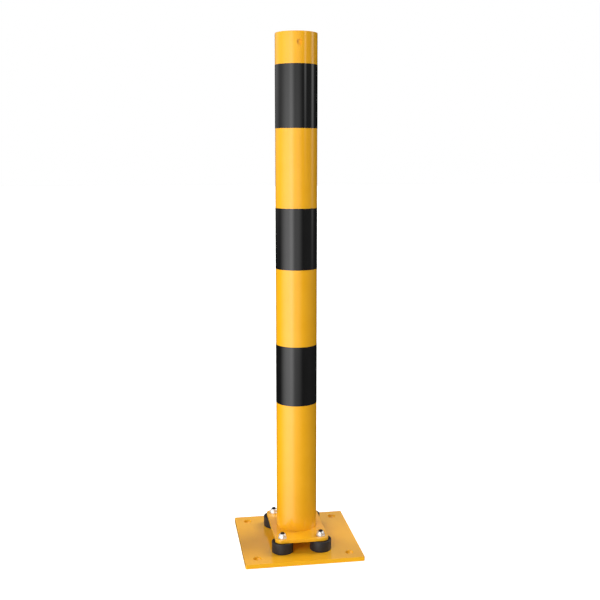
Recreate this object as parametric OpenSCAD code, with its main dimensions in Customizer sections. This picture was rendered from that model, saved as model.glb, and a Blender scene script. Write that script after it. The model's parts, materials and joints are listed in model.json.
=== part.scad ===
// Steel barrier post: a striped tube on a foot flange, carried by four rubber buffers on a
// square base plate, so that the post gives way a little when it is knocked.
// The origin is the middle of the base plate's underside. Z points up and the front is -Y.

/* [Post tube] */
// Height of the whole post above the ground
post_height = 950; // [800:10:1200]
// Outside diameter of the tube
tube_od = 76.1; // [60.3:0.1:82.5]
// Wall of the tube
tube_wall = 2.6; // [2.3:0.1:4]
// Diameter of the hole drilled through the front wall near the top
front_hole_d = 9.5; // [6:0.5:14]
// Distance from the top of the tube down to the middle of that hole
front_hole_drop = 19; // [16:0.5:30]
// Thickness of the steel lid let into the top of the tube
lid_thickness = 4; // [3:0.5:8]
// Wall of the lid's skirt, which closes the hole from behind
lid_skirt_wall = 3; // [2:0.5:6]
// How far the skirt reaches below the hole
lid_skirt_margin = 7; // [4:1:20]
// Depth of the welding groove between the lid and the tube
lid_groove = 1.5; // [1:0.1:1.8]
// Height of the weld under the foot of the tube, inside the flange
foot_weld_height = 3; // [2:0.5:4]

/* [Film bands] */
// Height of one black band
band_height = 111; // [80:1:120]
// Bare tube between one band and the next
band_gap = 142; // [80:1:150]
// Bare tube between the upper band and the top
band_top_margin = 55; // [35:1:70]
// Thickness of the adhesive film
film_thickness = 0.25; // [0.15:0.05:0.5]
// How far the end of a film laps over its start, at the back
film_lap = 10; // [5:1:20]

/* [Foot flange] */
// Width of the flange, left to right
flange_width = 100; // [96:1:110]
// Length of the flange, front to back
flange_length = 150; // [140:1:170]
// Thickness of the flange
flange_thickness = 6; // [5:0.5:10]
// Radius of the flange's corners
flange_corner_r = 12; // [4:0.5:16]
// Distance from the flange's edges to the middle of a buffer stud
buffer_edge = 14; // [12:0.5:16]

/* [Base plate] */
// Side of the square base plate
base_size = 220; // [205:5:260]
// Thickness of the base plate
base_thickness = 8; // [6:0.5:15]
// Radius of the base plate's corners
base_corner_r = 2; // [1:0.5:12]
// Distance from the plate's edges to the middle of an anchor hole
anchor_edge = 24; // [16:0.5:28]
// Diameter of the anchor holes
anchor_hole_d = 15; // [9:0.5:18]

/* [Rubber buffers] */
// Diameter of the rubber
rubber_d = 40; // [32:1:44]
// Height of a buffer between the plate and the flange
buffer_height = 20; // [17:1:35]
// Radius of the rubber's moulded edges
rubber_edge_r = 1; // [0.5:0.1:1.5]
// Rubber left around the rim of the steel discs
rubber_rim = 2; // [1.6:0.1:4]
// Thickness of the two steel discs bonded into the rubber
disc_thickness = 2; // [1.5:0.1:2.5]
// Diameter of the threaded bush on the lower disc
bush_d = 14; // [12:0.5:18]
// Height of that bush, with its disc
bush_height = 7; // [5:0.5:8]
// Diameter of the stud's head under the upper disc
stud_head_d = 14; // [12:0.5:18]
// Height of the stud's head
stud_head_height = 2; // [1.5:0.1:2.5]

/* [Fasteners] */
// Thread diameter of the studs, nuts and screws
thread_d = 8; // [6:0.5:8.5]
// Width of a lock nut across its flats
nut_af = 13; // [12.5:0.1:15]
// Height of a lock nut's hexagon
nut_hex_height = 4.2; // [3.5:0.1:7]
// Height of the round collar on top of the hexagon
nut_collar_height = 2.5; // [2.3:0.1:3.5]
// Wall of the nylon ring inside the collar
nylon_wall = 1.1; // [0.8:0.1:1.2]
// How far the stud stands out above the top of its nut
stud_end = 2; // [1:0.1:6]
// Outside diameter of a washer
washer_d = 16; // [15:0.5:17]
// Thickness of a washer
washer_thickness = 1.6; // [1:0.1:2]
// Diameter of a countersunk screw's head
screw_head_d = 16; // [14:0.5:18]
// Width across the flats of the screw's hexagon socket
socket_af = 5; // [3:0.5:5]
// How far a screw's head lies inside the underside of the plate
screw_recess = 0.4; // [0.2:0.1:0.8]

/* [Hidden] */

// Clearances
stud_hole_gap = 1;       // a stud or screw in its plain hole, on the diameter
washer_gap = 0.4;        // a washer on its stud, on the diameter
thread_gap = 0.1;        // a plain thread in its nut or bush, on the diameter
lid_gap = 0.3;           // the lid in the tube, on the diameter
foot_gap = 0.3;          // the tube in the flange, on the diameter

// Small fixed forms of the fasteners
thread_chamfer = 0.8;    // at the end of a stud or screw
nut_crimp = 0.5;         // lip of the collar that holds the nylon ring
nut_collar_wall = 0.7;
nut_collar_round = 1;
socket_depth = 2.6;
screw_tip_gap = 1;       // from a screw's tip to the end of its bush

// Colours
coat_yellow = [1.00, 0.69, 0.05];
film_black = [0.09, 0.09, 0.09];
rubber_black = [0.14, 0.14, 0.13];
zinc = [0.80, 0.81, 0.82];
dark_steel = [0.22, 0.21, 0.20];
nylon_white = [0.93, 0.93, 0.90];

// Levels, from the ground up
flange_bottom = base_thickness + buffer_height;
flange_top = flange_bottom + flange_thickness;
nut_bottom = flange_top + washer_thickness;
nut_height = nut_hex_height + nut_collar_height;
stud_top = nut_bottom + nut_height + stud_end;
tube_bottom = flange_bottom + foot_weld_height;
front_hole_z = post_height - front_hole_drop;

// Radii and plan positions
tube_r = tube_od / 2;
bore_r = tube_r - tube_wall;
lid_r = bore_r - lid_gap / 2;
foot_hole_r = tube_r + foot_gap / 2;
disc_d = rubber_d - 2 * rubber_rim;
stud_hole_d = thread_d + stud_hole_gap;
buffer_x = flange_width / 2 - buffer_edge;
buffer_y = flange_length / 2 - buffer_edge;
anchor_xy = base_size / 2 - anchor_edge;
collar_d = thread_d + 2 * (nylon_wall + nut_collar_wall);
nylon_d = thread_d + 2 * nylon_wall;
nylon_height = nut_collar_height - nut_crimp;

// A buffer's place as [side, end]: side is -1 on the left, end is -1 at the front
front_left = [-1, -1];
front_right = [1, -1];
rear_left = [-1, 1];
rear_right = [1, 1];
places = [front_left, front_right, rear_left, rear_right];

$fn = 96;
cut = 1;                 // how far a cutting shape runs past a face

// Moves its children to one buffer's axis, at the given height
module at_buffer(place, z) {
    translate([place[0] * buffer_x, place[1] * buffer_y, z]) children();
}

// A flat plate with round corners, lying on z = 0
module plate(width, length, thickness, corner_r) {
    linear_extrude(thickness) {
        square([width - 2 * corner_r, length], center = true);
        square([width, length - 2 * corner_r], center = true);
        for (x = [-1, 1], y = [-1, 1])
            translate([x * (width / 2 - corner_r), y * (length / 2 - corner_r)]) circle(corner_r);
    }
}

// A straight hole through a plate of the given thickness
module through_hole(d, thickness) {
    translate([0, 0, -cut]) cylinder(d = d, h = thickness + 2 * cut);
}

// Half section of a turned bar with round edges, for rotate_extrude
module round_edged_section(r, height, edge) {
    square([r - edge, height]);
    translate([0, edge]) square([r, height - 2 * edge]);
    for (y = [edge, height - edge]) translate([r - edge, y]) circle(edge);
}

// A plain rod with a chamfer at its top end, standing on z = 0
module rod(d, height) {
    cylinder(d = d, h = height - thread_chamfer);
    translate([0, 0, height - thread_chamfer])
        cylinder(d1 = d, d2 = d - 2 * thread_chamfer, h = thread_chamfer);
}

// Square plate with an anchor hole at each corner and a countersunk hole under each buffer
module base_plate() {
    sink_d = screw_head_d + 2 * screw_recess;
    sink_depth = (sink_d - stud_hole_d) / 2;
    color(coat_yellow) difference() {
        plate(base_size, base_size, base_thickness, base_corner_r);
        for (x = [-1, 1], y = [-1, 1])
            translate([x * anchor_xy, y * anchor_xy, 0]) through_hole(anchor_hole_d, base_thickness);
        for (place = places) at_buffer(place, 0) {
            through_hole(stud_hole_d, base_thickness);
            translate([0, 0, -cut])
                cylinder(d1 = sink_d + 2 * cut, d2 = stud_hole_d, h = sink_depth + cut);
        }
    }
}

// Screws that hold the buffers down: a flat head with a hexagon socket, and a plain thread
module countersunk_screws() {
    head_height = (screw_head_d - thread_d) / 2;
    length = base_thickness + bush_height - screw_tip_gap - screw_recess;
    color(zinc) for (place = places) at_buffer(place, screw_recess) difference() {
        union() {
            cylinder(d1 = screw_head_d, d2 = thread_d, h = head_height);
            rod(thread_d, length);
        }
        translate([0, 0, -cut])
            cylinder(d = socket_af / cos(30), h = socket_depth + cut, $fn = 6);
    }
}

// Lower steel disc of a buffer with its threaded bush, embedded in the rubber
module lower_disc(place) {
    color(zinc) at_buffer(place, base_thickness) difference() {
        union() {
            cylinder(d = disc_d, h = disc_thickness);
            cylinder(d = bush_d, h = bush_height);
        }
        through_hole(thread_d + thread_gap, bush_height);
    }
}

// Moulded rubber of a buffer, open above and below where the steel discs are bonded in
module rubber(place) {
    color(rubber_black) at_buffer(place, base_thickness) difference() {
        rotate_extrude() intersection() {
            round_edged_section(rubber_d / 2, buffer_height, rubber_edge_r);
            square([rubber_d, buffer_height]);
        }
        translate([0, 0, -cut]) {
            cylinder(d = disc_d, h = disc_thickness + cut);
            cylinder(d = bush_d, h = bush_height + cut);
        }
        translate([0, 0, buffer_height - disc_thickness]) {
            cylinder(d = disc_d, h = disc_thickness + cut);
            translate([0, 0, -stud_head_height]) cylinder(d = stud_head_d, h = stud_head_height + cut);
        }
    }
}

// Upper steel disc of a buffer with the threaded stud that passes through the flange
module stud_disc(place) {
    color(dark_steel) at_buffer(place, flange_bottom - disc_thickness) {
        cylinder(d = disc_d, h = disc_thickness);
        translate([0, 0, -stud_head_height]) cylinder(d = stud_head_d, h = stud_head_height);
        rod(thread_d, stud_top - flange_bottom + disc_thickness);
    }
}

// Flange that the tube is let into, with a hole for each buffer stud
module foot_flange() {
    color(coat_yellow) difference() {
        translate([0, 0, flange_bottom])
            plate(flange_width, flange_length, flange_thickness, flange_corner_r);
        translate([0, 0, flange_bottom]) through_hole(2 * foot_hole_r, flange_thickness);
        for (place = places) at_buffer(place, flange_bottom) through_hole(stud_hole_d, flange_thickness);
    }
}

module washers() {
    color(zinc) for (place = places) at_buffer(place, flange_top) difference() {
        cylinder(d = washer_d, h = washer_thickness);
        through_hole(thread_d + washer_gap, washer_thickness);
    }
}

// Hexagon nuts with a round collar, which is crimped over the nylon ring inside it
module lock_nuts() {
    corner_r = nut_af / 2 / cos(30);
    chamfer = (corner_r - nut_af / 2) * tan(30);
    color(zinc) for (place = places) at_buffer(place, nut_bottom) difference() {
        union() {
            intersection() {
                cylinder(r = corner_r, h = nut_hex_height, $fn = 6);
                rotate_extrude() polygon([
                    [0, 0], [nut_af / 2, 0], [corner_r, chamfer],
                    [corner_r, nut_hex_height - chamfer], [nut_af / 2, nut_hex_height], [0, nut_hex_height]
                ]);
            }
            rotate_extrude() intersection() {
                round_edged_section(collar_d / 2, nut_height, nut_collar_round);
                translate([0, nut_hex_height]) square([collar_d, nut_collar_height]);
            }
        }
        through_hole(thread_d + thread_gap, nut_height);
        translate([0, 0, nut_hex_height]) cylinder(d = nylon_d, h = nylon_height);
        translate([0, 0, nut_hex_height])
            cylinder(d = nylon_d - nylon_wall, h = nut_collar_height + cut);
    }
}

// Nylon rings that grip the studs inside the lock nuts
module nylon_rings() {
    color(nylon_white) for (place = places) at_buffer(place, nut_bottom + nut_hex_height) difference() {
        cylinder(d = nylon_d, h = nylon_height);
        through_hole(thread_d + thread_gap, nylon_height);
    }
}

// Tube let into the flange, with the welding groove for the lid and the hole in its front wall
module post_tube() {
    height = post_height - tube_bottom;
    color(coat_yellow) difference() {
        translate([0, 0, tube_bottom]) cylinder(r = tube_r, h = height);
        translate([0, 0, tube_bottom - cut]) cylinder(r = bore_r, h = height + 2 * cut);
        translate([0, 0, post_height - lid_groove])
            cylinder(r1 = bore_r, r2 = bore_r + lid_groove + cut, h = lid_groove + cut);
        translate([0, 0, front_hole_z]) rotate([90, 0, 0]) cylinder(d = front_hole_d, h = tube_r + cut);
    }
}

// Weld that fills the flange's hole under the end of the tube, flush with the underside
module foot_weld() {
    color(coat_yellow) translate([0, 0, flange_bottom]) rotate_extrude()
        translate([bore_r, 0]) square([foot_hole_r - bore_r, foot_weld_height]);
}

// Steel lid let into the top of the tube, chamfered for its weld, with a skirt behind the hole
module top_lid() {
    skirt_depth = front_hole_drop + front_hole_d / 2 + lid_skirt_margin;
    inside_r = lid_r - lid_skirt_wall;
    color(coat_yellow) translate([0, 0, post_height]) rotate_extrude() polygon([
        [0, -lid_thickness], [inside_r, -lid_thickness], [inside_r, -skirt_depth],
        [lid_r, -skirt_depth], [lid_r, -lid_groove], [lid_r - lid_groove, 0], [0, 0]
    ]);
}

// Weld between the lid and the tube, ground flush with the top
module lid_weld() {
    color(coat_yellow) translate([0, 0, post_height]) rotate_extrude() polygon([
        [lid_r, -lid_groove], [bore_r, -lid_groove], [bore_r + lid_groove, 0], [lid_r - lid_groove, 0]
    ]);
}

// One black film band; its number counts from 0 at the top, and its seam is at the back
module film_band(number) {
    top = post_height - band_top_margin - number * (band_height + band_gap);
    film_r = tube_r + film_thickness;
    lap_angle = film_lap / film_r * 180 / PI;
    color(film_black) translate([0, 0, top - band_height]) {
        rotate_extrude() translate([tube_r, 0]) square([film_thickness, band_height]);
        rotate([0, 0, 90]) rotate_extrude(angle = lap_angle)
            translate([film_r, 0]) square([film_thickness, band_height]);
    }
}

base_plate();
countersunk_screws();
lower_disc(front_left);  // lower_disc_front_left
lower_disc(front_right);  // lower_disc_front_right
lower_disc(rear_left);  // lower_disc_rear_left
lower_disc(rear_right);  // lower_disc_rear_right
rubber(front_left);  // rubber_front_left
rubber(front_right);  // rubber_front_right
rubber(rear_left);  // rubber_rear_left
rubber(rear_right);  // rubber_rear_right
stud_disc(front_left);  // stud_disc_front_left
stud_disc(front_right);  // stud_disc_front_right
stud_disc(rear_left);  // stud_disc_rear_left
stud_disc(rear_right);  // stud_disc_rear_right
foot_flange();
washers();
lock_nuts();
nylon_rings();
post_tube();
foot_weld();
top_lid();
lid_weld();
film_band(0);  // band_upper
film_band(1);  // band_middle
film_band(2);  // band_lower
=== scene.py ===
# %% [markdown]
# Steel barrier post: a lesson in small, honest hard-surface pieces.
# The real object is a powder coated tube with three black film bands, welded to a foot flange.
# Four rubber buffers carry the flange on a base plate, so the post gives way when it is knocked.
# The imported model gives the places and outer sizes. Here each visible piece is made again with soft
# edges, round walls and a finish of its own, and each piece but the buffers rides on the body that it
# belongs to.

# %% Load the frame
import json
import math
from collections import namedtuple

import bmesh
import bpy
from mathutils import Matrix, Vector


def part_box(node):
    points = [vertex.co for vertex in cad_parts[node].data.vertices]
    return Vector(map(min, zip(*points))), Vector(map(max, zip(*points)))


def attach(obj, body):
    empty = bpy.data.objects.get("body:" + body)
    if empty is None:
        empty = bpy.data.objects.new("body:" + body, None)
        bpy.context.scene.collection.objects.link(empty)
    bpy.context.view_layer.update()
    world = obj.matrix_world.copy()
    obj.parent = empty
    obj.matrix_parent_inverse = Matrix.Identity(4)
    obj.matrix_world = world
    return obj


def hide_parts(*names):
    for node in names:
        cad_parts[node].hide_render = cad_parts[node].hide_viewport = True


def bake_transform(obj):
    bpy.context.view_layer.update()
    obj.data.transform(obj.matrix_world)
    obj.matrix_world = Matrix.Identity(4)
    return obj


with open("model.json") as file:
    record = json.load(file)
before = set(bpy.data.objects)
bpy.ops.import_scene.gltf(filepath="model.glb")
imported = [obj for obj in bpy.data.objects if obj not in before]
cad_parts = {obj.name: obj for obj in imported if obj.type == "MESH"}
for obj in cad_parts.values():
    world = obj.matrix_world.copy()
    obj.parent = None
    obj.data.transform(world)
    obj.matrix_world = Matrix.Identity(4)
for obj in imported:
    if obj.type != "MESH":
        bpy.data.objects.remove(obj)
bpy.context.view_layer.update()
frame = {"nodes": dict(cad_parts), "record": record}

# %% [markdown]
# Blender works in metres and a maker thinks in millimetres, so one factor turns one into the other.
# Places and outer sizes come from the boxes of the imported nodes. Only what a box can't tell, such
# as a wall or an edge radius, is a value of its own.

# %% Units and places
MM = 0.001
PLACES = ("front_left", "front_right", "rear_left", "rear_right")


def middle(node):
    low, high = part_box(node)
    return (low + high) / 2


buffer_centres = {place: middle("rubber_" + place) for place in PLACES}
print("buffers stand at", {p: tuple(round(c / MM, 1) for c in v) for p, v in buffer_centres.items()})

# %% [markdown]
# The camera comes before any piece, so that each one is judged in the photograph's own framing.
# It stands 1.65 m away, a little to the left and above the middle, and looks down by 9 degrees.
# Lens and sensor are in plain millimetres, as Blender takes them, and the picture is square.

# %% Camera
CAMERA_PLACE = (-258.2 * MM, -1633.2 * MM, 736.7 * MM)
CAMERA_DOWN = math.radians(9.12)
CAMERA_TURN = math.radians(9.22)
CAMERA_LENS = 54.14
SENSOR_WIDTH = 36

camera_data = bpy.data.cameras.new("camera")
camera_data.lens = CAMERA_LENS
camera_data.sensor_width = SENSOR_WIDTH
camera = bpy.data.objects.new("camera", camera_data)
camera.location = CAMERA_PLACE
camera.rotation_euler = (math.radians(90) - CAMERA_DOWN, 0, -CAMERA_TURN)
bpy.context.scene.collection.objects.link(camera)
bpy.context.scene.camera = camera
print("camera at", [round(c, 3) for c in camera.location])

# %% [markdown]
# A finish starts as a colour that people write as hex digits. Those digits are sRGB, and the shader
# wants linear light, so one function turns them. Another adds a node with its settings and links,
# which keeps each finish below short enough to read.

# %% Colour and node helpers
def linear(hex_colour):
    channels = [int(hex_colour[i:i + 2], 16) / 255 for i in (1, 3, 5)]
    light = [c / 12.92 if c <= 0.04045 else ((c + 0.055) / 1.055) ** 2.4 for c in channels]
    return (*light, 1)


def add(tree, kind, inputs=None, **settings):
    """Adds a node. An input is a plain value, or another node's output, which is linked."""
    node = tree.nodes.new(kind)
    for name, value in settings.items():
        setattr(node, name, value)
    for name, value in (inputs or {}).items():
        if isinstance(value, bpy.types.NodeSocket):
            tree.links.new(value, node.inputs[name])
        else:
            node.inputs[name].default_value = value
    return node


def new_finish(name):
    material = bpy.data.materials.new(name)
    material.use_nodes = True
    tree = material.node_tree
    return material, tree, tree.nodes["Principled BSDF"]


# %% [markdown]
# A texture's scale counts how often its pattern repeats in a metre. Writing the size of one grain in
# millimetres instead keeps every pattern tied to the real surface. Noise stays mostly from 0.3 to
# 0.7, so that span is stretched to the values that the surface really has.

# %% A value that wanders over the surface
NOISE_LOW = 0.3
NOISE_HIGH = 0.7


def wandering(tree, size_mm, low, high, detail=2.0):
    place = add(tree, "ShaderNodeTexCoord").outputs["Object"]
    noise = add(tree, "ShaderNodeTexNoise", {"Vector": place, "Scale": 1 / (size_mm * MM), "Detail": detail})
    span = add(tree, "ShaderNodeMapRange", {"Value": noise.outputs["Fac"], "From Min": NOISE_LOW,
                                            "From Max": NOISE_HIGH, "To Min": low, "To Max": high})
    return span.outputs["Result"]


# %% [markdown]
# Powder coat is a baked polyester skin about 0.08 mm thick. It flows while it is hot, which leaves
# a high gloss with a faint orange peel a few millimetres across. The gloss is that of any clear
# plastic, so the IOR stays at 1.5, and the peel is a very shallow bump.

# %% Finish: powder coated steel
def powder_coat():
    material, tree, shader = new_finish("traffic_yellow_powder_coat")
    shade = add(tree, "ShaderNodeMix", {"Factor": wandering(tree, 38, 0, 1), 6: linear("#F4AF1C"),
                                        7: linear("#F7B322")}, data_type="RGBA")
    peel = add(tree, "ShaderNodeBump", {"Height": wandering(tree, 3.2, 0, 1, detail=1.0),
                                        "Distance": 0.004 * MM})
    swell = add(tree, "ShaderNodeBump", {"Height": wandering(tree, 26, 0, 1, detail=0.0),
                                         "Distance": 0.006 * MM, "Normal": peel.outputs["Normal"]})
    tree.links.new(shade.outputs[2], shader.inputs["Base Color"])
    tree.links.new(wandering(tree, 9, 0.07, 0.11), shader.inputs["Roughness"])
    tree.links.new(swell.outputs["Normal"], shader.inputs["Normal"])
    shader.inputs["IOR"].default_value = 1.5
    return material


# %% [markdown]
# The bands are vinyl film, rolled smooth between calenders and stuck down wet. It is a deep black
# that shows little but reflections, with the shallow waves that a film has over a coated tube.

# %% Finish: adhesive vinyl film
def vinyl_film():
    material, tree, shader = new_finish("black_vinyl_film")
    shade = add(tree, "ShaderNodeMix", {"Factor": wandering(tree, 30, 0, 1), 6: linear("#131313"),
                                        7: linear("#161616")}, data_type="RGBA")
    waves = add(tree, "ShaderNodeBump", {"Height": wandering(tree, 18, 0, 1, detail=1.0),
                                         "Distance": 0.006 * MM})
    tree.links.new(shade.outputs[2], shader.inputs["Base Color"])
    tree.links.new(wandering(tree, 6, 0.08, 0.12), shader.inputs["Roughness"])
    tree.links.new(waves.outputs["Normal"], shader.inputs["Normal"])
    shader.inputs["IOR"].default_value = 1.5
    return material


# %% [markdown]
# Buffers are natural rubber filled with carbon black and moulded hot. The mould is spark eroded, so
# the skin is finely pitted and dull, and a little wax blooms to the surface as a grey haze.

# %% Finish: moulded rubber
def moulded_rubber():
    material, tree, shader = new_finish("moulded_carbon_rubber")
    bloom = add(tree, "ShaderNodeMix", {"Factor": wandering(tree, 7, 0, 1, detail=4.0),
                                        6: linear("#11151C"), 7: linear("#191E27")}, data_type="RGBA")
    # The pits are 0.1 mm wide on the real rubber and are drawn four times as coarse to show
    pits = add(tree, "ShaderNodeBump", {"Height": wandering(tree, 0.4, 0, 1), "Distance": 0.012 * MM})
    tree.links.new(bloom.outputs[2], shader.inputs["Base Color"])
    tree.links.new(wandering(tree, 5, 0.42, 0.58), shader.inputs["Roughness"])
    tree.links.new(pits.outputs["Normal"], shader.inputs["Normal"])
    shader.inputs["IOR"].default_value = 1.52
    return material


# %% [markdown]
# Nuts, washers, screws and the lower discs are zinc plated. Zinc from the bath is a bright, slightly
# blue metal, and tumbling in the drum leaves it covered in fine scuffs that spread its highlights.

# %% Finish: zinc plated steel
def zinc_plate():
    material, tree, shader = new_finish("bright_zinc_plate")
    shade = add(tree, "ShaderNodeMix", {"Factor": wandering(tree, 4, 0, 1), 6: linear("#E8EAEC"),
                                        7: linear("#F3F4F5")}, data_type="RGBA")
    scuffs = add(tree, "ShaderNodeBump", {"Height": wandering(tree, 0.8, 0, 1), "Distance": 0.003 * MM})
    tree.links.new(shade.outputs[2], shader.inputs["Base Color"])
    tree.links.new(wandering(tree, 1.5, 0.36, 0.48), shader.inputs["Roughness"])
    tree.links.new(scuffs.outputs["Normal"], shader.inputs["Normal"])
    shader.inputs["Metallic"].default_value = 1.0
    return material


# %% [markdown]
# The studs are coloured dark grey as painted shade: their ends stand in for the shade in each nut's
# bore, which looks dark beside the bright nuts. The nylon rings keep the milky white of the plain polymer.

# %% Finishes: dark steel with painted shade, and nylon
def shade_darkened_steel():
    material, tree, shader = new_finish("shade_darkened_steel")
    # The dark grey is painted shade, standing in for the shade in the bores of the nuts.
    shade = add(tree, "ShaderNodeMix", {"Factor": wandering(tree, 2, 0, 1), 6: linear("#2B2A2B"),
                                        7: linear("#3A3938")}, data_type="RGBA")
    tree.links.new(shade.outputs[2], shader.inputs["Base Color"])
    tree.links.new(wandering(tree, 1.2, 0.45, 0.6), shader.inputs["Roughness"])
    shader.inputs["Metallic"].default_value = 1.0
    return material


def natural_nylon():
    material, tree, shader = new_finish("natural_nylon")
    shade = add(tree, "ShaderNodeMix", {"Factor": wandering(tree, 3, 0, 1), 6: linear("#DEDED6"),
                                        7: linear("#E8E8E1")}, data_type="RGBA")
    tree.links.new(shade.outputs[2], shader.inputs["Base Color"])
    shader.inputs["Roughness"].default_value = 0.4
    shader.inputs["IOR"].default_value = 1.53
    return material


FINISHES = {
    "yellow_coat": powder_coat(), "black_film": vinyl_film(), "black_rubber": moulded_rubber(),
    "zinc_steel": zinc_plate(), "dark_steel": shade_darkened_steel(), "nylon": natural_nylon(),
}
print("finishes:", sorted(FINISHES))

# %% [markdown]
# Every CAD node gets its finish from the record's own list of slots, also the ones that a piece
# will stand for later, so that no node is ever seen in plain grey.

# %% Dress the CAD nodes
for part in frame["record"]["subparts"]:
    mesh = frame["nodes"][part["node"]].data
    mesh.materials.clear()
    mesh.materials.append(FINISHES[part["material_slot"]])

# %% [markdown]
# A turned piece is drawn as half of its section and spun about its axis, just as a lathe does it.
# The section is a closed outline of radius and height. Points on the axis meet when doubles are
# merged, and then the outside is worked out again, because a spin can turn a shape inside out.
# Points nearer than SAME_PLACE count as one, and faces thinner than SLIVER are taken out.

# %% Turning
TURN_STEPS = 96
TUBE_STEPS = 256
SAME_PLACE = 1e-6
SLIVER = 1e-7


def close_up(bm):
    bmesh.ops.remove_doubles(bm, verts=bm.verts, dist=SAME_PLACE)
    bmesh.ops.dissolve_degenerate(bm, dist=SLIVER, edges=bm.edges)
    bmesh.ops.recalc_face_normals(bm, faces=bm.faces)
    return bm


def turn(section, centre=(0, 0), steps=TURN_STEPS, rows=None):
    """Spins a closed section. rows gives the first point of an edge, and how often to divide it."""
    bm = bmesh.new()
    points = [bm.verts.new((radius, 0, height)) for radius, height in section]
    edges = [bm.edges.new(pair) for pair in zip(points, points[1:] + points[:1])]
    for first, cuts in (rows or {}).items():
        bmesh.ops.subdivide_edges(bm, edges=[edges[first]], cuts=cuts)
    bmesh.ops.spin(bm, geom=bm.verts[:] + bm.edges[:], cent=(0, 0, 0), axis=(0, 0, 1),
                   dvec=(0, 0, 0), angle=math.tau, steps=steps, use_merge=True)
    close_up(bm)
    bmesh.ops.translate(bm, verts=bm.verts, vec=(centre[0], centre[1], 0))
    return bm


# %% [markdown]
# No real edge is perfectly sharp, and a small bevel is what catches the light on it. A rim is found
# by where it lies: a circle of known radius at a known height.

# %% Soft edges
RIM_REACH = 2e-5


def rim(bm, radius, height, centre=(0, 0)):
    axis = Vector(centre)

    def on_rim(vert):
        off_circle = abs((vert.co.xy - axis).length - radius)
        return off_circle < RIM_REACH and abs(vert.co.z - height) < RIM_REACH

    return [edge for edge in bm.edges if all(on_rim(vert) for vert in edge.verts)]


def soften(bm, edges, radius, segments=3):
    bmesh.ops.bevel(bm, geom=edges, offset=radius, offset_type="OFFSET", segments=segments,
                    profile=0.5, affect="EDGES", clamp_overlap=True, material=-1)


def sharp_edges(bm, least_degrees=60):
    bm.normal_update()
    least = math.radians(least_degrees)
    return [edge for edge in bm.edges if len(edge.link_faces) == 2 and edge.calc_face_angle() > least]


# %% [markdown]
# Holes that cross a curved wall can't be drawn in a section. There a Boolean does what the drill
# does, and its result goes back into the bmesh, so no modifier stays behind.

# %% Drilling
def as_object(bm, name):
    mesh = bpy.data.meshes.new(name)
    bm.to_mesh(mesh)
    bm.free()
    shape = bpy.data.objects.new(name, mesh)
    bpy.context.scene.collection.objects.link(shape)
    return shape


def combined(bm, tool_bm, operation):
    blank = as_object(bm, "blank")
    tool = as_object(tool_bm, "tool")
    modifier = blank.modifiers.new("combine", "BOOLEAN")
    modifier.operation = operation
    modifier.solver = "EXACT"
    modifier.object = tool
    bpy.context.view_layer.update()
    shape = blank.evaluated_get(bpy.context.evaluated_depsgraph_get())
    result = bmesh.new()
    result.from_mesh(shape.to_mesh())
    shape.to_mesh_clear()
    for helper in (blank, tool):
        bpy.data.meshes.remove(helper.data)
    bmesh.ops.remove_doubles(result, verts=result.verts, dist=SLIVER)
    return result


# %% [markdown]
# Each finished bmesh becomes an object in the same way: smooth where the surface is round, sharp
# where it isn't, with its finish and its body, and the CAD nodes that it stands for are hidden. The
# Weighted Normal modifier keeps large flat faces flat beside their soft edges.

# %% Finishing a piece
def finish_piece(name, bm, slot, nodes, body=None, sharp_degrees=32, flat_faces=True):
    shape = as_object(bm, name)
    mesh = shape.data
    mesh.materials.append(FINISHES[slot])
    mesh.shade_smooth()
    mesh.set_sharp_from_angle(angle=math.radians(sharp_degrees))
    if flat_faces:
        modifier = shape.modifiers.new("flat faces", "WEIGHTED_NORMAL")
        modifier.keep_sharp = True
    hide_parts(*nodes)
    if body:
        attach(shape, body)
    print(f"{name}: {len(mesh.polygons)} faces for {', '.join(nodes)}")
    return shape


# %% [markdown]
# Both plates are cut from sheet by laser, so they are an outline with holes, raised to a thickness.
# One square face has its corners rounded, the rings of the holes are added inside it, and the
# triangle fill leaves the rings open. Extruding that flat sheet makes walls in every hole at once.

# %% Laser cut plates
HOLE_STEPS = 64
CORNER_STEPS = 10
LARGE_HOLE_RADIUS = 10 * MM


def cut_plate(node, corner_radius, holes):
    low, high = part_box(node)
    bm = bmesh.new()
    bmesh.ops.create_grid(bm, x_segments=1, y_segments=1, size=0.5)
    bmesh.ops.scale(bm, verts=bm.verts, vec=(high.x - low.x, high.y - low.y, 1))
    bmesh.ops.bevel(bm, geom=bm.verts[:], offset=corner_radius, offset_type="OFFSET",
                    segments=CORNER_STEPS, profile=0.5, affect="VERTICES", material=-1)
    bmesh.ops.delete(bm, geom=bm.faces[:], context="FACES_ONLY")
    for x, y, radius in holes:
        place = Matrix.Translation((x, y, 0))
        steps = HOLE_STEPS if radius < LARGE_HOLE_RADIUS else TUBE_STEPS
        bmesh.ops.create_circle(bm, segments=steps, radius=radius, matrix=place)
    bmesh.ops.triangle_fill(bm, use_beauty=True, use_dissolve=False, edges=bm.edges[:])
    raised_part = bmesh.ops.extrude_face_region(bm, geom=bm.faces[:], use_keep_orig=True)["geom"]
    top = [item for item in raised_part if isinstance(item, bmesh.types.BMVert)]
    bmesh.ops.translate(bm, verts=top, vec=(0, 0, high.z - low.z))
    bmesh.ops.translate(bm, verts=bm.verts, vec=(0, 0, low.z))
    bmesh.ops.recalc_face_normals(bm, faces=bm.faces)
    return bm


# %% [markdown]
# The base plate is 8 mm steel with an anchor hole near each corner. Under each buffer it has a
# countersunk hole: the rim of a plain hole is bevelled in one flat step, which is exactly the cone
# that a countersink cuts. The coat then rounds every edge a little.

# %% Base plate
PLATE_CORNER = 2 * MM
ANCHOR_HOLE_RADIUS = 7.5 * MM
ANCHOR_EDGE = 24 * MM
SCREW_HOLE_RADIUS = 4.5 * MM
SINK_RADIUS = 8.4 * MM
COAT_EDGE = 0.5 * MM

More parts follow.
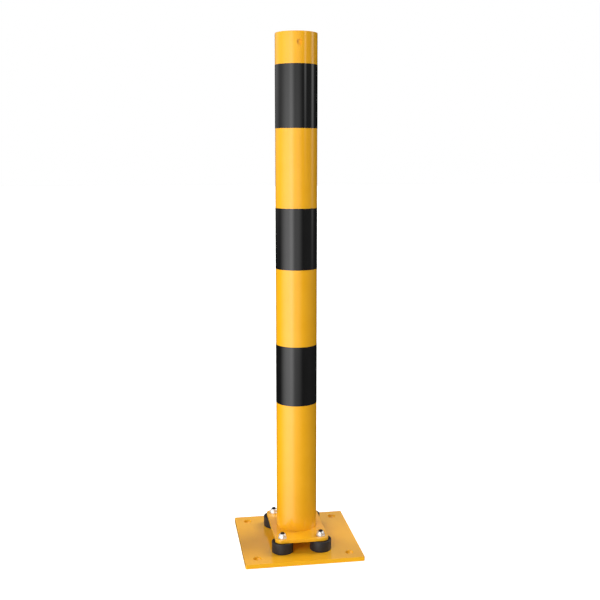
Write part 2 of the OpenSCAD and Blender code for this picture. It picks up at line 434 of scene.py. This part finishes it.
plate_low, plate_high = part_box("base_plate")
anchor = plate_high.x - ANCHOR_EDGE
anchor_holes = [(x, y, ANCHOR_HOLE_RADIUS) for x in (-anchor, anchor) for y in (-anchor, anchor)]
screw_holes = [(c.x, c.y, SCREW_HOLE_RADIUS) for c in buffer_centres.values()]

plate = cut_plate("base_plate", PLATE_CORNER, anchor_holes + screw_holes)
sinks = [edge for c in buffer_centres.values()
         for edge in rim(plate, SCREW_HOLE_RADIUS, plate_low.z, c.xy)]
soften(plate, sinks, SINK_RADIUS - SCREW_HOLE_RADIUS, segments=1)
soften(plate, sharp_edges(plate), COAT_EDGE)
finish_piece("base_plate_coated", plate, "yellow_coat", ["base_plate"], "base")

# %% [markdown]
# The foot flange is the same kind of plate with larger round corners, four plain holes for the studs
# and a large one that the tube is let into. A stud's hole is as wide as a screw's in the base plate.
# The flange belongs to the post, because it tilts with it.

# %% Foot flange
FLANGE_CORNER = 12 * MM
FLANGE_EDGE = 0.8 * MM
TUBE_RADIUS = 76.1 * MM / 2
FOOT_GAP = 0.15 * MM
FOOT_RIM_EDGE = 0.25 * MM
foot_hole_radius = TUBE_RADIUS + FOOT_GAP

flange = cut_plate("foot_flange", FLANGE_CORNER, screw_holes + [(0, 0, foot_hole_radius)])
flange_low, flange_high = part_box("foot_flange")
tube_rims = [edge for z in (flange_low.z, flange_high.z) for edge in rim(flange, foot_hole_radius, z)]
soften(flange, tube_rims, FOOT_RIM_EDGE, segments=2)
soften(flange, sharp_edges(flange), FLANGE_EDGE)
finish_piece("foot_flange_coated", flange, "yellow_coat", ["foot_flange"], "post")

# %% [markdown]
# The tube could be a cylinder primitive, but it needs a wall, a welding groove at the top and a hole
# drilled through its front. So its wall section is spun in many steps, which keeps the long
# reflections clean, and the wall is divided finely only around the hole before the drill goes in.

# %% Post tube
TUBE_WALL = 2.6 * MM
TUBE_EDGE = 0.6 * MM
LID_GROOVE = 1.5 * MM
FRONT_HOLE_RADIUS = 4.75 * MM
FRONT_HOLE_DROP = 19 * MM
MM_ROWS_AROUND_HOLE = range(-8, 9)

tube_low, tube_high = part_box("post_tube")
bore_radius = TUBE_RADIUS - TUBE_WALL
hole_height = tube_high.z - FRONT_HOLE_DROP

tube = turn([(TUBE_RADIUS, tube_low.z), (TUBE_RADIUS, tube_high.z),
             (bore_radius + LID_GROOVE, tube_high.z), (bore_radius, tube_high.z - LID_GROOVE),
             (bore_radius, tube_low.z)], steps=TUBE_STEPS)
soften(tube, rim(tube, TUBE_RADIUS, tube_high.z), TUBE_EDGE)
for row in MM_ROWS_AROUND_HOLE:
    bmesh.ops.bisect_plane(tube, geom=tube.verts[:] + tube.edges[:] + tube.faces[:],
                           plane_co=(0, 0, hole_height + row * MM), plane_no=(0, 0, 1))

drill = bmesh.new()
at_front = Matrix.Translation((0, -TUBE_RADIUS, hole_height)) @ Matrix.Rotation(math.radians(90), 4, "X")
bmesh.ops.create_cone(drill, cap_ends=True, segments=HOLE_STEPS, radius1=FRONT_HOLE_RADIUS,
                      radius2=FRONT_HOLE_RADIUS, depth=TUBE_RADIUS, matrix=at_front)
tube = combined(tube, drill, "DIFFERENCE")

# %% [markdown]
# The faces that the drill cut have uneven shapes, which would dent the gloss around the hole. The
# true surface there is a cylinder, so the normals of the outer wall are set from its axis.

# %% Clean gloss around the hole
WALL_REACH = 0.1 * MM
FACES_OUT = 0.99


def set_round_normals(shape, radius):
    """A loop that is left at zero keeps the normal that Blender works out."""
    mesh = shape.data
    normals = [Vector((0, 0, 0))] * len(mesh.loops)
    for face in mesh.polygons:
        out = Vector((face.center.x, face.center.y, 0))
        if abs(out.length - radius) > WALL_REACH or face.normal.dot(out.normalized()) < FACES_OUT:
            continue
        for loop in face.loop_indices:
            place = mesh.vertices[mesh.loops[loop].vertex_index].co
            normals[loop] = Vector((place.x, place.y, 0)).normalized()
    mesh.normals_split_custom_set(normals)


tube_piece = finish_piece("post_tube_coated", tube, "yellow_coat", ["post_tube"], "post",
                          flat_faces=False)
set_round_normals(tube_piece, TUBE_RADIUS)

# %% [markdown]
# The tube's end stops short of the flange's underside, and the step is filled with weld. A hand made
# weld is a row of frozen puddles, so the rows of its lower face are dented in even ripples. It never
# stands out below the flange.

# %% Weld under the foot
WELD_RIPPLES = 96
STEPS_PER_RIPPLE = 4
WELD_ROWS = 6
WELD_DIP = 0.35 * MM
WELD_RIPPLE = 0.12 * MM
RIPPLE_LAG = 3

weld_width = foot_hole_radius - bore_radius
bead = turn([(foot_hole_radius, flange_low.z), (bore_radius, flange_low.z),
             (bore_radius, tube_low.z), (foot_hole_radius, tube_low.z)],
            steps=STEPS_PER_RIPPLE * WELD_RIPPLES, rows={0: WELD_ROWS})
for vert in bead.verts:
    share = (vert.co.xy.length - bore_radius) / weld_width
    if vert.co.z < flange_low.z + SAME_PLACE and 0.01 < share < 0.99:
        along = WELD_RIPPLES * math.atan2(vert.co.y, vert.co.x)
        puddle = WELD_RIPPLE * math.cos(along - RIPPLE_LAG * share)
        vert.co.z += (WELD_DIP + puddle) * math.sin(math.pi * share)
finish_piece("foot_weld_bead", bead, "yellow_coat", ["foot_weld"], "post", sharp_degrees=60,
             flat_faces=False)

# %% [markdown]
# The lid is a steel cap let into the tube, and its skirt is the yellow bottom seen in the front hole.
# The groove around it is filled with weld and ground flush, so under the coat only a faint, slightly
# sunken ring shows.

# %% Lid and its ground weld
LID_GAP = 0.15 * MM
LID_THICKNESS = 4 * MM
SKIRT_WALL = 3 * MM
GRIND_DIP = 0.06 * MM
GRIND_ROWS = 5

lid_low, lid_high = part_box("top_lid")
lid_radius = bore_radius - LID_GAP
skirt_radius = lid_radius - SKIRT_WALL
lid = turn([(0, lid_high.z - LID_THICKNESS), (skirt_radius, lid_high.z - LID_THICKNESS),
            (skirt_radius, lid_low.z), (lid_radius, lid_low.z), (lid_radius, lid_high.z - LID_GROOVE),
            (lid_radius - LID_GROOVE, lid_high.z), (0, lid_high.z)], steps=TUBE_STEPS)
finish_piece("top_lid_coated", lid, "yellow_coat", ["top_lid"], "post", flat_faces=False)

ground = turn([(lid_radius, lid_high.z - LID_GROOVE), (bore_radius, lid_high.z - LID_GROOVE),
               (bore_radius + LID_GROOVE, lid_high.z), (lid_radius - LID_GROOVE, lid_high.z)],
              steps=TUBE_STEPS, rows={2: GRIND_ROWS})
for vert in ground.verts:
    across_ring = (vert.co.xy.length - lid_radius + LID_GROOVE) / (bore_radius - lid_radius + 2 * LID_GROOVE)
    if vert.co.z > lid_high.z - SAME_PLACE and 0.01 < across_ring < 0.99:
        vert.co.z -= GRIND_DIP * math.sin(math.pi * across_ring)
finish_piece("lid_weld_ground", ground, "yellow_coat", ["lid_weld"], "post", sharp_degrees=60,
             flat_faces=False)

# %% [markdown]
# A film band is a thin sleeve, and where the strip ends it laps over its own start at the back.
# The sleeve is spun, and the faces of the lap are extruded outwards by one more thickness. The
# extrusion leaves the first faces inside, so they are deleted and the lap is one body with the sleeve.

# %% Film bands
FILM = 0.25 * MM
FILM_LAP = 10 * MM


def film_band(node):
    low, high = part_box(node)
    sleeve_radius = TUBE_RADIUS + FILM
    bm = turn([(TUBE_RADIUS, low.z), (sleeve_radius, low.z),
               (sleeve_radius, high.z), (TUBE_RADIUS, high.z)], steps=TUBE_STEPS)
    lap_angle = FILM_LAP / sleeve_radius
    lapped = []
    for face in bm.faces:
        centre = face.calc_center_median()
        past_back = math.atan2(-centre.x, centre.y)
        if centre.xy.length > TUBE_RADIUS + 0.9 * FILM and 0 < past_back < lap_angle:
            lapped.append(face)
    moved = bmesh.ops.extrude_face_region(bm, geom=lapped)["geom"]
    outer = [item for item in moved if isinstance(item, bmesh.types.BMVert)]
    wider = (sleeve_radius + FILM) / sleeve_radius
    bmesh.ops.scale(bm, verts=outer, vec=(wider, wider, 1))
    bmesh.ops.delete(bm, geom=[face for face in lapped if face.is_valid], context="FACES")
    bmesh.ops.recalc_face_normals(bm, faces=bm.faces)
    return bm


for node in ("band_upper", "band_middle", "band_lower"):
    finish_piece(node + "_film", film_band(node), "black_film", [node], "post", flat_faces=False)

# %% [markdown]
# A buffer squeezes and leans between the plate and the flange, so each buffer is made as two halves
# that meet at the height of the hinges: a lower half on the plate and an upper half under the flange.
# Both keep the seats of the steel discs, and rows divide the wall. The upper half has a shallow pocket
# over the bush below it, which leaves room when a tilt squeezes the buffer.

# %% Rubber buffers
DISC_THICKNESS = 2 * MM
HEAD_RADIUS = 7 * MM
RUBBER_EDGE = 1 * MM
POCKET_RADIUS = 7.6 * MM
POCKET_DEPTH = 1.2 * MM
WALL_ROWS = 9


def buffer_half(place, upward):
    """upward is 1 for the half under the flange and -1 for the half on the plate."""
    low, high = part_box("rubber_" + place)
    centre = (low + high) / 2
    metal_low, metal_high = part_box(("stud_disc_" if upward > 0 else "lower_disc_") + place)
    radius = (high.x - low.x) / 2
    disc_radius = (metal_high.x - metal_low.x) / 2
    outer_end = high.z if upward > 0 else low.z
    seat = outer_end - upward * DISC_THICKNESS
    head = metal_low.z if upward > 0 else metal_high.z
    meeting_face = [(0, centre.z)]
    if upward > 0:
        pocket = centre.z + POCKET_DEPTH
        meeting_face = [(POCKET_RADIUS, centre.z), (POCKET_RADIUS, pocket), (0, pocket)]
    bm = turn([(disc_radius, outer_end), (radius, outer_end), (radius, centre.z), *meeting_face,
               (0, head), (HEAD_RADIUS, head), (HEAD_RADIUS, seat), (disc_radius, seat)],
              centre.xy, rows={1: WALL_ROWS})
    soften(bm, rim(bm, radius, outer_end, centre.xy), RUBBER_EDGE, segments=5)
    return close_up(bm), centre, outer_end


for place in PLACES:
    for side, upward in (("lower", -1), ("upper", 1)):
        half, centre, end_height = buffer_half(place, upward)
        shape = finish_piece(f"buffer_{place}_{side}_half", half, "black_rubber",
                             ["rubber_" + place], flat_faces=False)
        if upward > 0:
            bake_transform(shape)
        else:
            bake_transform(shape)

# %% [markdown]
# A stud is turned in one piece with its disc, and its thread is rolled. Spinning a small triangle
# while it also moves up gives the helix, which is how the screw operator of the editor works. The
# thread starts a little above the disc, stops short of the stud's end and sinks a little into the
# core, so that no gap shows between the two.

# %% Studs
PITCH = 1.25 * MM
THREAD_RADIUS = 4 * MM
CORE_RADIUS = 3.4 * MM
THREAD_START = 6 * MM
BARE_END = 0.8 * MM
END_EDGE = 0.2 * MM
ROOT_DEPTH = 0.1 * MM
THREAD_STEPS = 32


def stud(place):
    low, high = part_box("stud_disc_" + place)
    centre = (low + high) / 2
    disc_radius = (high.x - low.x) / 2
    disc_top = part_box("rubber_" + place)[1].z
    thread_start = disc_top + THREAD_START
    end = high.z
    bm = turn([(0, low.z), (HEAD_RADIUS, low.z), (HEAD_RADIUS, disc_top - DISC_THICKNESS),
               (disc_radius, disc_top - DISC_THICKNESS), (disc_radius, disc_top),
               (THREAD_RADIUS, disc_top), (THREAD_RADIUS, thread_start), (CORE_RADIUS, thread_start),
               (CORE_RADIUS, end - END_EDGE), (CORE_RADIUS - END_EDGE, end), (0, end)], centre.xy)
    root_radius = CORE_RADIUS - ROOT_DEPTH
    outline = ((root_radius, 0.1 * PITCH), (THREAD_RADIUS, 0.5 * PITCH), (root_radius, 0.9 * PITCH))
    ridge = [bm.verts.new((centre.x + radius, centre.y, thread_start + height))
             for radius, height in outline]
    face = bm.faces.new(ridge)
    turns = int((end - BARE_END - thread_start) / PITCH)
    bmesh.ops.spin(bm, geom=[face], cent=centre, axis=(0, 0, 1), dvec=(0, 0, PITCH / THREAD_STEPS),
                   angle=math.tau * turns, steps=THREAD_STEPS * turns)
    bmesh.ops.recalc_face_normals(bm, faces=bm.faces)
    return bm


for place in PLACES:
    finish_piece("stud_" + place, stud(place), "dark_steel", ["stud_disc_" + place], "post")

# %% [markdown]
# The four sets of fasteners are alike, so one of each is made on the axis and copied to the four
# buffers. They stay one piece, because they share one node.

# %% Copies at the four studs
def at_all_studs(single):
    whole = bmesh.new()
    for centre in buffer_centres.values():
        mesh = bpy.data.meshes.new("copy")
        single.to_mesh(mesh)
        mesh.transform(Matrix.Translation((centre.x, centre.y, 0)))
        whole.from_mesh(mesh)
        bpy.data.meshes.remove(mesh)
    single.free()
    return whole


# %% [markdown]
# A washer is stamped, so its edges are slightly rolled on both sides.

# %% Washers
WASHER_RADIUS = 8 * MM
WASHER_HOLE_RADIUS = 4.2 * MM
WASHER_EDGE = 0.25 * MM

washer_low, washer_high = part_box("washers")
washer = turn([(WASHER_HOLE_RADIUS, washer_low.z), (WASHER_RADIUS, washer_low.z),
               (WASHER_RADIUS, washer_high.z), (WASHER_HOLE_RADIUS, washer_high.z)])
soften(washer, sharp_edges(washer), WASHER_EDGE)
finish_piece("washers_stamped", at_all_studs(washer), "zinc_steel", ["washers"], "post")

# %% [markdown]
# A lock nut is a hexagon with its corners turned off at 30 degrees and a round collar on top that
# is rolled over a nylon ring. Cutting a hexagonal bar with a turned cone leaves the curved scallops
# that make a nut look like a nut.

# %% Hexagon of the lock nuts
NUT_ACROSS_FLATS = 13 * MM
HEX_HEIGHT = 4.2 * MM
NUT_BORE_RADIUS = 4.05 * MM
PAST_CORNER = 0.1 * MM

nut_low, nut_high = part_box("lock_nuts")
hex_top = nut_low.z + HEX_HEIGHT
corner_radius = NUT_ACROSS_FLATS / math.sqrt(3)
flat_radius = NUT_ACROSS_FLATS / 2
turned_off = (corner_radius - flat_radius) * math.tan(math.radians(30))

bar = bmesh.new()
bar_place = Matrix.Translation((0, 0, nut_low.z + HEX_HEIGHT / 2))
bmesh.ops.create_cone(bar, cap_ends=True, segments=6, radius1=corner_radius,
                      radius2=corner_radius, depth=HEX_HEIGHT, matrix=bar_place)
outside = corner_radius + PAST_CORNER
cone = turn([(0, nut_low.z), (flat_radius, nut_low.z), (outside, nut_low.z + turned_off),
             (outside, hex_top - turned_off), (flat_radius, hex_top), (0, hex_top)])
nut = combined(bar, cone, "INTERSECT")
bore = bmesh.new()
bmesh.ops.create_cone(bore, cap_ends=True, segments=TURN_STEPS, radius1=NUT_BORE_RADIUS,
                      radius2=NUT_BORE_RADIUS, depth=3 * HEX_HEIGHT, matrix=bar_place)
nut = combined(nut, bore, "DIFFERENCE")
print("one hexagon has", len(nut.faces), "faces")

# %% [markdown]
# The collar is turned separately and stands on the hexagon. Its wall keeps the nylon ring in, with
# a lip that is crimped over the ring, so its section is a hook. Nut and collar become one mesh.

# %% Collar of the lock nuts
COLLAR_RADIUS = 5.8 * MM
COLLAR_ROUND = 1 * MM
NYLON_RADIUS = 5.1 * MM
CRIMP_RADIUS = 4.55 * MM
CRIMP = 0.5 * MM

collar = turn([(NYLON_RADIUS, hex_top), (COLLAR_RADIUS, hex_top), (COLLAR_RADIUS, nut_high.z),
               (CRIMP_RADIUS, nut_high.z), (CRIMP_RADIUS, nut_high.z - CRIMP),
               (NYLON_RADIUS, nut_high.z - CRIMP)])
soften(collar, rim(collar, COLLAR_RADIUS, nut_high.z), COLLAR_ROUND, segments=5)
collar_mesh = bpy.data.meshes.new("collar")
collar.to_mesh(collar_mesh)
nut.from_mesh(collar_mesh)
bpy.data.meshes.remove(collar_mesh)
finish_piece("lock_nuts_formed", at_all_studs(nut), "zinc_steel", ["lock_nuts"], "post",
             sharp_degrees=25)

# %% [markdown]
# The nylon ring is the milky line inside the collar. It grips the thread, so it ends at the bore.

# %% Nylon rings
RING_EDGE = 0.15 * MM

ring_low, ring_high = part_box("nylon_rings")
ring = turn([(NUT_BORE_RADIUS, ring_low.z), (NYLON_RADIUS, ring_low.z),
             (NYLON_RADIUS, ring_high.z), (NUT_BORE_RADIUS, ring_high.z)])
soften(ring, rim(ring, NUT_BORE_RADIUS, ring_high.z), RING_EDGE, segments=2)
finish_piece("nylon_rings_moulded", at_all_studs(ring), "nylon", ["nylon_rings"], "post")

# %% [markdown]
# The studio is a world that glows by direction. Gloss shows what stands around an object, so the
# light is a handful of soft panels, as a photographer would set them up. The tall one at the front
# left draws the wide highlight on the tube and throws light into the holes. Lamps high at the back
# left and at the right lift the plate, and two soft strips at the right draw the pale lines near
# the tube's top. A direction is in degrees around the post from the camera's side, positive to the
# right. A height is a sine: -1 is straight down and 1 is straight up.

# %% Studio panels
Panel = namedtuple("Panel", "turn half_width height half_height level")
PANELS = {
    "tall panel at the front left": Panel(-45, 30, -0.15, 0.35, 2.8),
    "its bright edge": Panel(-25, 10, -0.05, 0.25, 1.7),
    "glow from the floor in front": Panel(-35, 20, -0.8, 0.2, 5.6),
    "large lamp over the camera": Panel(-25, 20, 0.6, 0.2, 5.0),
    "low card in front": Panel(10, 15, -0.05, 0.25, 1.1),
    "pale wall on the left": Panel(-120, 25, 0.25, 0.2, 1.2),
    "lamp high at the back left": Panel(-125, 10, 0.7, 0.2, 6.4),
    "pale backdrop": Panel(170, 25, 0.4, 0.15, 0.6),
    "lamp high on the right": Panel(110, 15, 0.7, 0.25, 7.6),
    "soft strip on the right": Panel(50, 5, 0.18, 0.12, 2.4),
    "soft strip further right": Panel(99, 8, 0.2, 0.2, 2.0),
    "dim wall on the right": Panel(75, 40, 0, 0.4, 0.15),
}
print("studio panels:", ", ".join(PANELS))

# %% [markdown]
# A panel fades on all sides, because a hard edge would draw a line in the gloss. It is at its full
# level in the middle, at half of it half_width or half_height away, and gone at twice that distance.
# Directions meet at the back, where 180 and -180 degrees are one, so the shorter way round counts.

# %% Light of one panel
def soft_edge(tree, value, half):
    """1 where the value is 0, a half at half, and gone at twice that, on both sides."""
    away = add(tree, "ShaderNodeMath", {0: value}, operation="ABSOLUTE").outputs[0]
    share = add(tree, "ShaderNodeMapRange", {"Value": away, "From Min": 0, "From Max": 2 * half,
                                             "To Min": 1, "To Max": 0}, interpolation_type="SMOOTHSTEP")
    return share.outputs["Result"]


def panel_light(tree, degrees, height, panel):
    turned = add(tree, "ShaderNodeMath", {0: degrees, 1: panel.turn}, operation="SUBTRACT").outputs[0]
    shortest = add(tree, "ShaderNodeMath", {0: turned, 1: 180, 2: -180}, operation="WRAP").outputs[0]
    raised = add(tree, "ShaderNodeMath", {0: height, 1: panel.height}, operation="SUBTRACT").outputs[0]
    both = add(tree, "ShaderNodeMath", {0: soft_edge(tree, shortest, panel.half_width),
                                        1: soft_edge(tree, raised, panel.half_height)},
               operation="MULTIPLY").outputs[0]
    return add(tree, "ShaderNodeMath", {0: both, 1: panel.level}, operation="MULTIPLY").outputs[0]


# %% [markdown]
# The world turns a ray's direction into degrees and height, and adds up what the panels give there.
# The camera itself sees plain white behind the post, as in a cut-out picture. Standard keeps the
# colours as they are, where the default view would make the yellow dull.

# %% Studio world
def studio_world():
    world = bpy.data.worlds.new("studio")
    world.use_nodes = True
    tree = world.node_tree
    tree.nodes.clear()
    direction = add(tree, "ShaderNodeTexCoord").outputs["Generated"]
    turned = add(tree, "ShaderNodeVectorRotate", {"Vector": direction, "Angle": CAMERA_TURN},
                 rotation_type="Z_AXIS")
    axes = add(tree, "ShaderNodeSeparateXYZ", {"Vector": turned.outputs["Vector"]}).outputs
    towards = add(tree, "ShaderNodeMath", {0: axes["Y"], 1: -1}, operation="MULTIPLY")
    around = add(tree, "ShaderNodeMath", {0: axes["X"], 1: towards.outputs[0]}, operation="ARCTAN2")
    degrees = add(tree, "ShaderNodeMath", {0: around.outputs[0], 1: 180 / math.pi}, operation="MULTIPLY")
    light = 0.0
    for panel in PANELS.values():
        glow = panel_light(tree, degrees.outputs[0], axes["Z"], panel)
        light = add(tree, "ShaderNodeMath", {0: glow, 1: light}, operation="ADD").outputs[0]
    lit = add(tree, "ShaderNodeBackground", {"Color": (1, 1, 1, 1), "Strength": light})
    seen = add(tree, "ShaderNodeBackground", {"Color": (1, 1, 1, 1), "Strength": 1.0})
    is_camera = add(tree, "ShaderNodeLightPath").outputs["Is Camera Ray"]
    mix = add(tree, "ShaderNodeMixShader", {0: is_camera, 1: lit.outputs[0], 2: seen.outputs[0]})
    add(tree, "ShaderNodeOutputWorld", {"Surface": mix.outputs[0]})
    return world


bpy.context.scene.world = studio_world()
bpy.context.scene.view_settings.view_transform = "Standard"
print("the world has", len(bpy.context.scene.world.node_tree.nodes), "nodes")

# %% [markdown]
# The floor is a plain pale sheet, 40 m wide. It glows a little by itself, so that it stays near
# white like the background. Only the camera sees it: bounced light, gloss and shadow rays pass it,
# because the studio's panels reach below its height. It lies a hair below the plate, because two
# faces at one height would flicker into each other, and its underside is clear, so that the screws
# under the plate can be looked at.

# %% Floor
FLOOR_SIZE = 40
FLOOR_GLOW = 0.62
FLOOR_DROP = 0.2 * MM


def studio_floor():
    material, tree, shader = new_finish("pale_studio_floor")
    shader.inputs["Base Color"].default_value = linear("#F2F2F2")
    shader.inputs["Roughness"].default_value = 0.9
    shader.inputs["Specular IOR Level"].default_value = 0.0
    shader.inputs["Emission Color"].default_value = (1, 1, 1, 1)
    shader.inputs["Emission Strength"].default_value = FLOOR_GLOW
    clear = add(tree, "ShaderNodeBsdfTransparent")
    underside = add(tree, "ShaderNodeNewGeometry").outputs["Backfacing"]
    sheet = add(tree, "ShaderNodeMixShader", {0: underside, 1: shader.outputs[0], 2: clear.outputs[0]})
    tree.links.new(sheet.outputs[0], tree.nodes["Material Output"].inputs["Surface"])
    bm = bmesh.new()
    bmesh.ops.create_grid(bm, x_segments=1, y_segments=1, size=FLOOR_SIZE / 2,
                          matrix=Matrix.Translation((0, 0, -FLOOR_DROP)))
    floor = as_object(bm, "floor")
    floor.data.materials.append(material)
    floor.visible_glossy = False
    floor.visible_diffuse = False
    floor.visible_shadow = False


studio_floor()
print("the floor lies", round(FLOOR_DROP / MM, 2), "mm below the plate")
